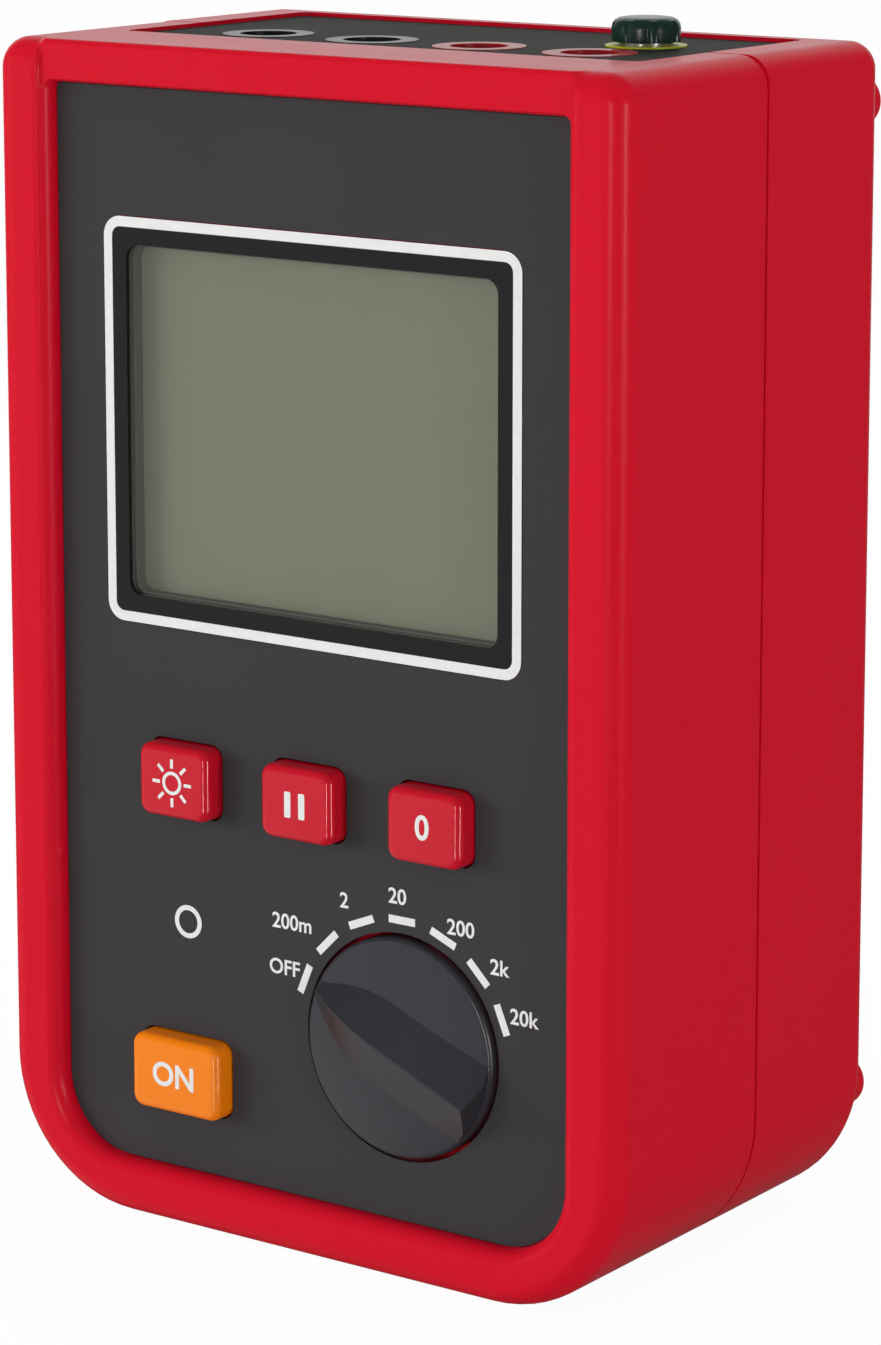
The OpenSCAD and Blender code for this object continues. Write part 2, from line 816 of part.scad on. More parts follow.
// Snap switch under one button
module key_switch(x, z) {
    difference() {
        slab(switch_y, board_y) translate([x - switch_w / 2, z - switch_w / 2]) square(switch_w);
        bar_y(plunger_r + run, switch_y - over, switch_pit, x, z);
    }
}

module key_switches() {
    color("#9A9C9E") {
        for (x = key_xs) key_switch(x, key_row);
        key_switch(test_x, test_z);
    }
}

// The knob's frame: its axis along Y, its pointer end along -X before it is turned to the first mark
module on_knob_axis() {
    translate([knob_x, 0, knob_z]) rotate([0, 180 - first_angle, 0]) children();
}

module range_knob() {
    color("#36373B") on_knob_axis() {
        difference() {
            union() {
                rotate([90, 0, 0]) rotate_extrude() {
                    translate([0, -disc_back_y]) square([knob_r, disc_back_y - disc_y - disc_edge]);
                    polygon([
                        [0, -disc_back_y],
                        [knob_r, -disc_back_y],
                        [knob_r, -disc_y - disc_edge],
                        [knob_r - disc_edge, -disc_y],
                        [knob_r - dish_rim, -disc_y],
                        [0, -disc_y - dish_depth]
                    ]);
                }
                bar_y(hub_r, disc_back_y - touch, hub_y);
                hull() {
                    grip_section(-tip_reach, -tip_reach, tip_half, tip_h);
                    grip_section(end_reach + end_foot, end_reach, end_half, crest_h);
                }
            }
            bar_y(rotor_screw_r + touch, hub_y - rotor_screw_l, hub_y + over);
            translate([-hub_r, rotor_y, hub_r - hub_flat]) cube([2 * hub_r, rotor_t + over, hub_r]);
        }
    }
}

// One end of the grip: a triangle whose foot and crest lie at their own distances from the axis
module grip_section(foot_x, crest_x, half, rise) {
    foot_y = disc_y + dish_depth;
    crest_y = panel_y - rise;
    translate([foot_x, foot_y, -half]) cube([touch, touch, 2 * half]);
    translate([crest_x, crest_y, -crest_half]) cube([touch, touch, 2 * crest_half]);
}

module switch_rotor() {
    color("#E4E2DA") on_knob_axis() difference() {
        bar_y(rotor_r, rotor_y, rotor_back_y);
        difference() {
            bar_y(hub_r + touch, rotor_y - over, rotor_back_y + over);
            translate([-rotor_r, rotor_y - over, hub_r - hub_flat + touch])
                cube([2 * rotor_r, rotor_t + 2 * over, hub_r]);
        }
        for (side = [-1, 1]) translate([side * (rotor_r + ball_r), rotor_y + rotor_t / 2, 0])
            sphere(r = 2 * ball_r + touch);
    }
}

module rotor_wipers() {
    color("#D0A848") on_knob_axis() for (side = [-1, 1], k = [0, 1])
        translate([-wiper_l / 2, rotor_back_y, side * (wiper_in + hub_r / 2 + k * 2 * wiper_w)])
            cube([wiper_l, wiper_t, wiper_w]);
}

module rotor_screw() {
    color("#B9BCC0") on_knob_axis() {
        bar_y(rotor_screw_r, hub_y - rotor_screw_l + touch, hub_y + touch);
        bar_y(rotor_head_r, hub_y, hub_y + rotor_head_h);
    }
}

// Fixed ring whose notches the balls drop into
module detent_ring() {
    color("#1E1F21") translate([knob_x, 0, knob_z]) difference() {
        bar_y(ring_r, well_back_y, rotor_back_y);
        bar_y(ring_in_r, well_back_y - over, rotor_back_y + over);
        for (i = [0:notch_count - 1]) rotate([0, i * position_step + first_angle, 0])
            bar_y(notch_r, well_back_y - over, rotor_back_y + over, ring_in_r, 0);
    }
}

module detent_balls() {
    color("#C6C9CC") on_knob_axis() for (side = [-1, 1])
        translate([side * (ring_in_r - ball_r - ball_gap), rotor_y + rotor_t / 2, 0]) sphere(r = ball_r);
}

module test_lamp() {
    color("#C8402E") translate([test_x, 0, lamp_z]) {
        bar_y(lamp_base_r, board_y - lamp_base_t, board_y);
        bar_y(lamp_r, board_y - lamp_h + lamp_r, board_y - lamp_base_t + touch);
        translate([0, board_y - lamp_h + lamp_r, 0]) sphere(r = lamp_r);
    }
}

module lamp_light_pipe() {
    color("#D9D4D0", 0.5) bar_y(pipe_r, panel_y, pipe_y, test_x, lamp_z);
}

module main_board() {
    color("#1E5B34") difference() {
        slab(board_y, board_back_y) shield(
            board_w, board_low, board_high, board_corner_r, board_top_r
        );
        at_corners() bar_y(column_r + column_gap, board_y - over, board_back_y + over);
        at_board_posts() bar_y(board_screw_r + slip, board_y - over, board_back_y + over);
        bar_y(rotor_head_r + rotor_hole_gap, board_y - over, board_back_y + over, knob_x, knob_z);
    }
}

module board_screws() {
    color("#B9BCC0") at_board_posts() {
        bar_y(board_screw_r, board_y - board_screw_l + touch, board_back_y + touch);
        bar_y(board_screw_head_r, board_back_y, board_back_y + board_screw_head_h);
    }
}

module board_header() {
    color("#E4E2DA") slab(board_back_y, board_back_y + header_h)
        translate([-header_w / 2, header_z]) square([header_w, header_h]);
}

// Low-value resistor the test current is measured on, lying on its two bent legs
module current_shunt() {
    color("#B88A4A") translate([shunt_x, board_back_y + shunt_r, shunt_z]) {
        translate([-shunt_l / 2, 0, 0]) rotate([0, 90, 0]) cylinder(r = shunt_r, h = shunt_l);
    }
}

module heat_sink() {
    fin_pitch = (sink_w - sink_fin) / (sink_fin_count - 1);
    color("#A9ADB1") translate([sink_x - sink_w / 2, board_back_y + transistor_t, sink_z])
        linear_extrude(sink_h) {
            square([sink_w, sink_base]);
            for (i = [0:sink_fin_count - 1])
                translate([i * fin_pitch, 0]) square([sink_fin, sink_base + sink_fin_h]);
        }
}

module power_transistor() {
    color("#202124")
        translate([sink_x - transistor_w / 2, board_back_y, sink_z + (sink_h - transistor_h) / 2])
            cube([transistor_w, transistor_t, transistor_h]);
}

module buzzer() {
    color("#202124") bar_y(buzzer_r, board_back_y, board_back_y + buzzer_h, buzzer_x, buzzer_z);
}

module battery_door() {
    color("#B81A2C") difference() {
        slab(door_y + touch, rear_y) soft_rect(door_w, door_h, door_r, 0, door_mid);
        for (side = [-1, 1]) {
            bar_y(door_screw_r + slip, door_y - over, rear_y + over, side * door_screw_x, door_screw_z);
            bar_y(
                door_screw_head_r + slip, rear_y - door_screw_head_h, rear_y + over,
                side * door_screw_x, door_screw_z
            );
        }
        for (i = [0:door_rib_count - 1])
            translate([
                -door_w * door_rib_reach_share / 2, rear_y - door_rib,
                door_low + door_r + i * door_rib_pitch
            ])
                cube([door_w * door_rib_reach_share, door_rib + over, door_rib]);
    }
}

module door_screws() {
    color("#B9BCC0") for (side = [-1, 1]) {
        bar_y(
            door_screw_r, door_y - door_screw_l + 2 * touch, rear_y - door_screw_head_h + touch,
            side * door_screw_x, door_screw_z
        );
        bar_y(
            door_screw_head_r, rear_y - door_screw_head_h + touch, rear_y - touch,
            side * door_screw_x, door_screw_z
        );
    }
}

// Cells of one layer stand side by side, each turned over from its neighbour
module battery_cells() {
    color("#3A5D8C") for (k = [0:layer_count - 1], i = [0:row_count - 1])
        translate([
            (i - (row_count - 1) / 2) * cell_pitch,
            bay_front_y + cell_gap + cell_d / 2 + k * cell_pitch,
            bay_low + contact_room - touch
        ])
            cell((i + k) % 2);
}

module cell(turned) {
    translate([0, 0, turned * cell_l]) mirror([0, 0, turned]) {
        cylinder(r = cell_d / 2, h = cell_l - cap_h);
        translate([0, 0, cell_l - cap_h - touch]) cylinder(r = cap_r, h = cap_h);
    }
}

// Plated contact strips with their pads, at both ends of the bay
module battery_contacts() {
    pad = contact_room - contact_t - 2 * touch;
    color("#C9CCCE") for (end = [0, 1], k = [0:layer_count - 1], i = [0:row_count - 1])
        translate([
            (i - (row_count - 1) / 2) * cell_pitch,
            bay_front_y + cell_gap + cell_d / 2 + k * cell_pitch,
            end * (2 * bay_low + bay_h)
        ])
            mirror([0, 0, end]) translate([0, 0, bay_low]) {
                translate([-cell_d / 2 + 2 * contact_t, -cell_d / 2 + 2 * contact_t, 0])
                    cube([cell_d - 4 * contact_t, cell_d - 4 * contact_t, contact_t]);
                cylinder(r = cap_r, h = contact_t + pad);
            }
}

module case_screws() {
    color("#B9BCC0") at_corners() {
        bar_y(screw_r, seam_y - screw_bite + touch, rear_y - screw_sink + touch);
        bar_y(screw_head_r, rear_y - screw_sink, rear_y - screw_sink + screw_head_h);
    }
}

front_shell();
rear_shell();
front_panel();
display_frame();
window_lens();
lcd_glass();
lcd_holder();
lcd_backlight();
lcd_contact_strips();
terminal_plate();
c1_socket();
p1_socket();
p2_socket();
c2_socket();
c1_contact();
p1_contact();
p2_contact();
c2_contact();
guard_post_stud();
guard_post_collar();
guard_post_washer();
guard_post_nut();
guard_post_locknut();
terminal_board();
light_button();
hold_button();
zero_button();
test_button();
light_plunger();
hold_plunger();
zero_plunger();
test_plunger();
key_switches();
range_knob();
switch_rotor();
rotor_wipers();
rotor_screw();
detent_ring();
detent_balls();
test_lamp();
lamp_light_pipe();
main_board();
board_screws();
board_header();
current_shunt();
heat_sink();
power_transistor();
buzzer();
battery_door();
battery_cells();
battery_contacts();
door_screws();
case_screws();
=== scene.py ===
import bmesh
import bpy
from math import atan2, cos, pi, radians, sin
from mathutils import Matrix, Vector


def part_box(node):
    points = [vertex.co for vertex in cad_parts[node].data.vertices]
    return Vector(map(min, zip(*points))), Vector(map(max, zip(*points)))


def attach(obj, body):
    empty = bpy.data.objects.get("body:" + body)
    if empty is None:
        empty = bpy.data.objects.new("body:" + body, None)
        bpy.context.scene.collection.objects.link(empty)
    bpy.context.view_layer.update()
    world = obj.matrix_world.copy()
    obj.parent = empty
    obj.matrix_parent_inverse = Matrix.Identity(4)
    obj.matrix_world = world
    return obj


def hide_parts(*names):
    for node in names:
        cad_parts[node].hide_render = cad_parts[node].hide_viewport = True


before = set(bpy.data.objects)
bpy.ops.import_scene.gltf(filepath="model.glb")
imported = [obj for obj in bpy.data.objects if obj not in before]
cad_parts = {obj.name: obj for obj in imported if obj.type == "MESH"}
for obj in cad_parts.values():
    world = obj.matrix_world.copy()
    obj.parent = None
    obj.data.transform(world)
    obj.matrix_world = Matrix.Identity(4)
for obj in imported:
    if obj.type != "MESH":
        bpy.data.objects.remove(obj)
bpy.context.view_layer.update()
mm = 0.001

# The studio: a pale floor, a white surround and soft lamps round a hand-sized case.
# The camera sees both as white, with a faint shadow under the case. Glossy plastic mirrors a dim room
# with three soft cards and the two strip lamps, so that the dark faces stay dark.


def srgb(code):
    """A hex colour as the linear numbers that a shader takes."""
    parts = [int(code[i:i + 2], 16) / 255 for i in (1, 3, 5)]
    return (*[p / 12.92 if p <= 0.04045 else ((p + 0.055) / 1.055) ** 2.4 for p in parts], 1)


def add(tree, kind, inputs=None, **settings):
    """Adds a node; an input is given a value, or another node's output to link."""
    node = tree.nodes.new(kind)
    for name, value in settings.items():
        setattr(node, name, value)
    for name, value in (inputs or {}).items():
        if isinstance(value, bpy.types.NodeSocket):
            tree.links.new(value, node.inputs[name])
        else:
            node.inputs[name].default_value = value
    return node


def blank(name):
    """A new material and its empty node tree."""
    material = bpy.data.materials.new(name)
    material.use_nodes = True
    material.node_tree.nodes.clear()
    return material, material.node_tree


def shown(name, bm):
    """Puts a finished bmesh into the scene as a piece."""
    mesh = bpy.data.meshes.new(name)
    bm.to_mesh(mesh)
    bm.free()
    piece = bpy.data.objects.new(name, mesh)
    bpy.context.scene.collection.objects.link(piece)
    return piece


def seen_directly(tree):
    """Two sockets: 1 for rays from the camera, also through the clear window, and 1 for mirrored rays."""
    rays = add(tree, "ShaderNodeLightPath")
    seen = add(tree, "ShaderNodeMath", {
        0: rays.outputs["Is Camera Ray"], 1: rays.outputs["Is Transmission Ray"],
    }, operation="MAXIMUM")
    return seen.outputs[0], rays.outputs["Is Glossy Ray"]


white = (1, 1, 1, 1)

# white paper: what it glows by itself hides its edge against the surround, the rest takes the shadow
floor_size = 6
glow_strength, glow_share = 1.03, 0.93
bm = bmesh.new()
bmesh.ops.create_grid(bm, x_segments=1, y_segments=1, size=floor_size / 2)
floor = shown("studio_floor", bm)
floor_paper, tree = blank("floor_paper")
direct, _ = seen_directly(tree)
share = add(tree, "ShaderNodeMath", {0: direct, 1: glow_share}, operation="MULTIPLY")
paper = add(tree, "ShaderNodeBsdfDiffuse", {"Color": srgb("#EDEDEB")})
glow = add(tree, "ShaderNodeEmission", {"Color": white, "Strength": glow_strength})
both = add(tree, "ShaderNodeMixShader", {0: share.outputs[0], 1: paper.outputs[0], 2: glow.outputs[0]})
add(tree, "ShaderNodeOutputMaterial", {"Surface": both.outputs[0]})
floor.data.materials.append(floor_paper)
floor.visible_glossy = False

world = bpy.data.worlds.new("white_surround")
bpy.context.scene.world = world
world.use_nodes = True
tree = world.node_tree
tree.nodes.clear()
direct, mirrored = seen_directly(tree)
way = add(tree, "ShaderNodeTexCoord").outputs["Generated"]

# each card: the way towards it, the cosines at its outer edge and where it is full, and its strength
room_level, even_level = 0.1, 0.45
level = room_level
for card_way, edge, full, power in (
    ((-0.5, 0.8, 0.33), 0.65, 0.95, 0.75),
    ((-0.79, -0.25, -0.56), 0.88, 0.98, 0.45),
    ((-0.57, -0.8, -0.17), 0.8, 0.96, 0.5),
):
    toward = add(tree, "ShaderNodeVectorMath", {0: way, 1: card_way}, operation="DOT_PRODUCT")
    card = add(tree, "ShaderNodeMapRange", {
        "Value": toward.outputs["Value"], "From Min": edge, "From Max": full, "To Max": power,
    }, interpolation_type="SMOOTHSTEP")
    level = add(tree, "ShaderNodeMath", {0: level, 1: card.outputs[0]}, operation="ADD").outputs[0]
even = add(tree, "ShaderNodeBackground", {"Color": white, "Strength": even_level})
cards = add(tree, "ShaderNodeBackground", {"Color": white, "Strength": level})
backdrop = add(tree, "ShaderNodeBackground", {"Color": white, "Strength": 1})
surround = add(tree, "ShaderNodeMixShader", {0: mirrored, 1: even.outputs[0], 2: cards.outputs[0]})
surround = add(tree, "ShaderNodeMixShader", {0: direct, 1: surround.outputs[0], 2: backdrop.outputs[0]})
add(tree, "ShaderNodeOutputWorld", {"Surface": surround.outputs[0]})

# lamps: place, width, height and power; only the strips show in glossy faces
case_middle = Vector((0, 0, 0.09))
for name, place, width, height, power in (
    ("left_softbox", (-1.45, -0.85, 0.12), 0.9, 0.9, 25),
    ("front_strip", (0.3, -1.45, -0.15), 0.08, 0.9, 9),
    ("right_strip", (1.4, -0.4, -0.1), 0.08, 0.9, 12),
    ("overhead_softbox", (0.1, 0.1, 1.3), 1.0, 1.0, 2.0),
):
    data = bpy.data.lights.new(name, "AREA")
    data.shape = "RECTANGLE"
    data.size = width
    data.size_y = height
    data.energy = power
    lamp = bpy.data.objects.new(name, data)
    lamp.location = place
    lamp.visible_glossy = "strip" in name
    lamp.rotation_euler = (case_middle - Vector(place)).to_track_quat("-Z", "Y").to_euler()
    bpy.context.scene.collection.objects.link(lamp)

# the camera stands right of the case and looks down on it a little
look_down, look_left = 10.171, 35.596
camera_data = bpy.data.cameras.new("photo_camera")
camera_data.sensor_width = 36
camera_data.lens = 120.2
camera_data.shift_x = 0.0004
camera_data.shift_y = -0.1522
camera_data.clip_start = 0.05
camera_data.clip_end = 20
camera = bpy.data.objects.new("photo_camera", camera_data)
camera.location = (0.3785, -0.5276, 0.2284)
camera.rotation_euler = (radians(90 - look_down), 0, radians(look_left))
bpy.context.scene.collection.objects.link(camera)
bpy.context.scene.camera = camera
bpy.context.scene.view_settings.view_transform = "Standard"

# The case: two halves and a battery door, injection moulded in red ABS. The front half carries a raised,
# rounded rim round the panel. The moulds are spark-eroded, which leaves a fine satin grain.


def plastic(name, colour, shade, roughness, grain_mm, depth_mm, shine=0.5):
    """Moulded plastic: a grain from the mould and a hardly seen drift between two colours.

    The grain is drawn coarser than the real one, of about 0.1 mm, so that it shows.
    """
    drift_mm, swing = 30, 0.04
    material, tree = blank(name)
    place = add(tree, "ShaderNodeTexCoord").outputs["Object"]
    grain = add(tree, "ShaderNodeTexNoise", {"Vector": place, "Scale": 1 / (grain_mm * mm), "Detail": 2})
    drift = add(tree, "ShaderNodeTexNoise", {"Vector": place, "Scale": 1 / (drift_mm * mm), "Detail": 3})
    tint = add(tree, "ShaderNodeMix", {
        0: drift.outputs["Fac"], 6: srgb(colour), 7: srgb(shade),
    }, data_type="RGBA")
    dull = add(tree, "ShaderNodeMapRange", {
        "Value": drift.outputs["Fac"], "To Min": roughness - swing, "To Max": roughness + swing,
    })
    bump = add(tree, "ShaderNodeBump", {"Height": grain.outputs["Fac"], "Distance": depth_mm * mm})
    skin = add(tree, "ShaderNodeBsdfPrincipled", {
        "Base Color": tint.outputs[2], "Roughness": dull.outputs[0], "Normal": bump.outputs[0], "IOR": 1.5,
        "Specular IOR Level": shine,
    })
    add(tree, "ShaderNodeOutputMaterial", {"Surface": skin.outputs[0]})
    return material


def dress(material, *nodes):
    """Gives CAD nodes their finish."""
    for node in nodes:
        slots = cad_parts[node].data.materials
        slots.clear()
        slots.append(material)


# red ABS: a deep even red, whose grain spreads each highlight softly
red_abs = plastic("red_abs_spark_eroded", "#DA0E29", "#D60D28", 0.28, 0.35, 0.004, 0.13)
dress(red_abs, "rear_shell", "battery_door")


def outline_ring(bm, half, low, high, r_low, r_high, y):
    """A loop of edges: a rectangle with one radius at its two lower corners and one at the upper two."""
    corners = [bm.verts.new((x, y, z)) for x, z in ((-half, low), (half, low), (half, high), (-half, high))]
    bm.faces.new(corners)
    for pair, radius, segments in ((corners[:2], r_low, 16), (corners[2:], r_high, 6)):
        bmesh.ops.bevel(
            bm, geom=pair, offset=radius, affect="VERTICES", segments=segments, profile=0.5, material=-1
        )
    bm.faces.ensure_lookup_table()
    face = bm.faces[-1]
    edges = face.edges[:]
    bmesh.ops.delete(bm, geom=[face], context="FACES_ONLY")
    return edges


def closed(bm):
    """Merges doubles and turns every face outwards."""
    bmesh.ops.remove_doubles(bm, verts=bm.verts, dist=0.0005 * mm)
    bmesh.ops.recalc_face_normals(bm, faces=bm.faces)


def ringed(rings):
    """A closed solid through a row of outlines."""
    bm = bmesh.new()
    loops = [outline_ring(bm, *ring) for ring in rings]
    for first, second in zip(loops, loops[1:]):
        bmesh.ops.bridge_loops(bm, edges=first + second)
    for loop in (loops[0], loops[-1]):
        bmesh.ops.contextual_create(bm, geom=loop)
    closed(bm)
    return bm


def merged_copy(node, name):
    """A copy of a CAD node, its loose triangles merged, for a finer piece that stands for the node."""
    bm = bmesh.new()
    bm.from_mesh(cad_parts[node].data)
    bmesh.ops.remove_doubles(bm, verts=bm.verts, dist=0.001 * mm)
    return shown(name, bm)


def cut(piece, operation, tool):
    """Cuts a piece with another one, joins both, or keeps what both share, and drops the tool."""
    step = piece.modifiers.new(operation.lower(), "BOOLEAN")
    step.operation = operation
    step.object = tool
    step.solver = "EXACT"
    bpy.context.view_layer.update()
    mesh = bpy.data.meshes.new_from_object(piece.evaluated_get(bpy.context.evaluated_depsgraph_get()))
    piece.modifiers.clear()
    piece.data = mesh
    bpy.data.objects.remove(tool)


def smoothed(piece, material):
    """Smooth shading between sharp edges, with flat faces kept flat, and one material."""
    flat, sharp = radians(0.1), radians(35)
    bm = bmesh.new()
    bm.from_mesh(piece.data)
    bmesh.ops.dissolve_limit(bm, angle_limit=flat, verts=bm.verts, edges=bm.edges)
    for face in bm.faces:
        face.smooth = True
    bm.to_mesh(piece.data)
    bm.free()
    piece.data.set_sharp_from_angle(angle=sharp)
    piece.modifiers.new("flat_faces", "WEIGHTED_NORMAL").keep_sharp = True
    piece.data.materials.clear()
    piece.data.materials.append(material)


def sliced(bm, point, normal):
    """Cuts every face along a plane."""
    bmesh.ops.bisect_plane(
        bm, geom=bm.verts[:] + bm.edges[:] + bm.faces[:], plane_co=point, plane_no=normal
    )


# the rim is rounded all the way round; skin_gap keeps the finer piece just inside the solid, and back_y
# lies behind the front half, so that nothing is cut there
case_half, case_high = 55 * mm, 175 * mm
low_corner_r, top_corner_r = 22 * mm, 4.6 * mm
front_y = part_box("front_shell")[0].y
back_y = 10 * mm
skin_gap = 0.02 * mm
rim_r, steps = 3.6 * mm, 8
rings = []
for i in range(steps + 1):
    a = pi / 2 * i / steps
    inset = skin_gap + rim_r * (1 - sin(a))
    rings.append((
        case_half - inset, inset, case_high - inset, low_corner_r - inset, top_corner_r - inset,
        front_y + skin_gap + rim_r * (1 - cos(a)),
    ))
rings.append((*rings[-1][:5], back_y))
bm = ringed(rings)

# between the two side beads the top bar lies a little deeper, with a crisper edge
flare_r, flare_half = 2.4 * mm, 45.4 * mm
bar_drop, bar_share, bar_low = 0.8 * mm, 0.25, 168.2 * mm
bar_blend, hair = 0.4 * mm, 0.1 * mm
bead_cuts = [flare_half + reach * mm for reach in (0.6, 0.8, 1, 1.3, 1.6, 2, 2.4)]
for x in sorted(side * reach for side in (-1, 1) for reach in bead_cuts):
    sliced(bm, (x, 0, 0), (1, 0, 0))
for z in (bar_low - bar_blend, bar_low):
    sliced(bm, (0, 0, z), (0, 0, 1))
for vert in bm.verts:
    if vert.co.z > bar_low - hair and vert.co.y < front_y + rim_r + hair:
        inward = min(1, max(0, 1 - (abs(vert.co.x) - flare_half) / flare_r))
        sunk = min(1, flare_r * (1 - (1 - inward * inward) ** 0.5) / bar_drop)
        kept = 1 - sunk * (1 - bar_share)
        if vert.co.z > case_high - rim_r - hair:
            vert.co.z = case_high - skin_gap - (case_high - skin_gap - vert.co.z) * kept
        vert.co.y = front_y + skin_gap + bar_drop * sunk + (vert.co.y - front_y - skin_gap) * kept
rim_shape = shown("rim_shape", bm)

# the flared edge round the panel, cut down to just above the floor that the panel lies on
panel_low, panel_high = 8.4 * mm, 168.7 * mm
panel_low_r, panel_high_r = 11.5 * mm, 1 * mm
flare_depth, flare_over = 3.7 * mm, 2 * mm
rings = []
for i in range(steps + 1):
    a = pi / 2 * i / steps
    grow = skin_gap + flare_r * (1 - sin(a))
    rings.append((
        flare_half + grow, panel_low - grow, panel_high + grow, panel_low_r + grow, panel_high_r + grow,
        front_y + flare_r * (1 - cos(a)),
    ))
rings.insert(0, (*rings[0][:5], front_y - flare_over))
rings.append((*rings[-1][:5], front_y + flare_depth))
flare_shape = shown("flare_shape", ringed(rings))

front_half = merged_copy("front_shell", "front_shell_moulding")
cut(front_half, "INTERSECT", rim_shape)
cut(front_half, "DIFFERENCE", flare_shape)
smoothed(front_half, red_abs)
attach(front_half, "case")
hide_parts("front_shell")

# The front panel: a dark polycarbonate overlay with a velvet matt face, die cut and glued into the bezel.
# White ink gives it the line round the display, the dial's marks and numbers, and the lamp's ring.
# The velvet face takes the shine off the grey, and the ink is an even, slightly cloudy white.
overlay = plastic("overlay_velvet_polycarbonate", "#3F3E40", "#3C3B3D", 0.45, 0.25, 0.005, 0.14)
dress(overlay, "front_panel")

cloud_mm = 0.6
white_ink, tree = blank("white_screen_ink")
place = add(tree, "ShaderNodeTexCoord").outputs["Object"]
film = add(tree, "ShaderNodeTexNoise", {"Vector": place, "Scale": 1 / (cloud_mm * mm), "Detail": 2})
tint = add(tree, "ShaderNodeMix", {
    0: film.outputs["Fac"], 6: srgb("#F4F4F3"), 7: srgb("#E9E9E8"),
}, data_type="RGBA")
skin = add(tree, "ShaderNodeBsdfPrincipled", {"Base Color": tint.outputs[2], "Roughness": 0.45})
add(tree, "ShaderNodeOutputMaterial", {"Surface": skin.outputs[0]})

ink_t = 0.04 * mm
panel_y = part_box("front_panel")[0].y
dial_x, dial_z = 16.4 * mm, 34.3 * mm


def rounded_face(bm, x0, x1, z0, z1, y, radius, segments=8):
    """A rounded rectangle that faces the front."""
    corners = [bm.verts.new((x, y, z)) for x, z in ((x0, z0), (x1, z0), (x1, z1), (x0, z1))]
    bm.faces.new(corners)
    bmesh.ops.bevel(
        bm, geom=corners, offset=radius, affect="VERTICES", segments=segments, profile=0.5, material=-1
    )
    bm.faces.ensure_lookup_table()
    return bm.faces[-1]


def pulled(bm, faces, depth):
    """Extrudes faces along the depth and gives the moved faces."""
    made = bmesh.ops.extrude_face_region(bm, geom=faces)["geom"]
    bmesh.ops.translate(bm, vec=(0, depth, 0), verts=[v for v in made if isinstance(v, bmesh.types.BMVert)])
    return [f for f in made if isinstance(f, bmesh.types.BMFace)]


def outlined(bm, faces, width):
    """Turns flat faces at the ink's front into a printed line of a width along their edge."""
    bmesh.ops.inset_region(bm, faces=faces, thickness=width, use_boundary=True, use_even_offset=True)
    bmesh.ops.delete(bm, geom=faces, context="FACES")
    pulled(bm, bm.faces[:], ink_t)
    closed(bm)


def ink_ring(bm, x, y, z, radius, width, segments):
    """A printed ring on the surface at y."""
    bmesh.ops.create_circle(
        bm, segments=segments, radius=radius, cap_ends=True,
        matrix=Matrix.Translation((x, y - ink_t, z)) @ Matrix.Rotation(pi / 2, 4, "X"),
    )
    outlined(bm, bm.faces[:], width)


def ink_bar(bm, x, y, z, reach, angle, radial, across):
    """A printed bar on the surface at y, some way out from a point at an angle."""
    made = bmesh.ops.create_cube(bm, size=1)["verts"]
    bmesh.ops.transform(
        bm, verts=made,
        matrix=Matrix.Translation((x + reach * cos(angle), y - ink_t / 2, z + reach * sin(angle)))
        @ Matrix.Rotation(-angle, 4, "Y") @ Matrix.Diagonal((radial, ink_t, across, 1)),
    )


def inked(piece, body):
    """Gives a print its ink and the body that it moves with."""
    piece.data.materials.append(white_ink)
    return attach(piece, body)


def lettering(name, words, y, height, bold, body):
    """Raised ink from words, each a text and its middle, on the surface at y."""
    capital_share = 0.72
    bm = bmesh.new()
    for text, x, z in words:
        curve = bpy.data.curves.new(name, "FONT")
        curve.body = text
        curve.size = height / capital_share
        curve.align_x = "CENTER"
        curve.align_y = "CENTER"
        curve.offset = bold
        curve.extrude = ink_t / 2
        curve.resolution_u = 4
        text_object = bpy.data.objects.new(name, curve)
        bpy.context.scene.collection.objects.link(text_object)
        mesh = bpy.data.meshes.new_from_object(text_object)
        mesh.transform(Matrix.Translation((x, y - ink_t / 2, z)) @ Matrix.Rotation(pi / 2, 4, "X"))
        bm.from_mesh(mesh)
        bpy.data.objects.remove(text_object)
        bpy.data.meshes.remove(mesh)
    closed(bm)
    return inked(shown(name, bm), body)


# line round the display
line_w, line_r = 1.5 * mm, 2.9 * mm
low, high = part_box("display_frame")
bm = bmesh.new()
outer = rounded_face(bm, low.x, high.x, low.z, high.z, panel_y - ink_t, line_r)
outlined(bm, [outer], line_w)
inked(shown("display_line_print", bm), "case")

# marks of the dial, clockwise from the OFF position
mark_l, mark_w, mark_reach = 4.6 * mm, 1.15 * mm, 18.7 * mm
first_mark, mark_step, marks = 157.5, 22.5, 7
bm = bmesh.new()
for i in range(marks):
    angle = radians(first_mark - mark_step * i)
    ink_bar(bm, dial_x, panel_y, dial_z, mark_reach, angle, mark_w, mark_l)
bmesh.ops.recalc_face_normals(bm, faces=bm.faces)
inked(shown("dial_marks_print", bm), "case")

# ring round the lamp
lamp_x, lamp_z = -22.4 * mm, 46.4 * mm
lamp_ring_r, lamp_ring_w = 2.5 * mm, 0.75 * mm
bm = bmesh.new()
ink_ring(bm, lamp_x, panel_y, lamp_z, lamp_ring_r, lamp_ring_w, 48)
inked(shown("lamp_ring_print", bm), "case")

# numbers of the dial
dial_words = (
    ("OFF", -4.6 * mm, 42.4 * mm),
    ("200m", -3.2 * mm, 49.3 * mm),
    ("2", 6.2 * mm, 54.2 * mm),
    ("20", 15.6 * mm, 56.3 * mm),
    ("200", 26.6 * mm, 53.4 * mm),
    ("2k", 33.2 * mm, 48.8 * mm),
    ("20k", 37.4 * mm, 42.2 * mm),
)
dial_letter_h, dial_bold = 2.3 * mm, 0.05 * mm
lettering("dial_numbers_print", dial_words, panel_y, dial_letter_h, dial_bold, "case")

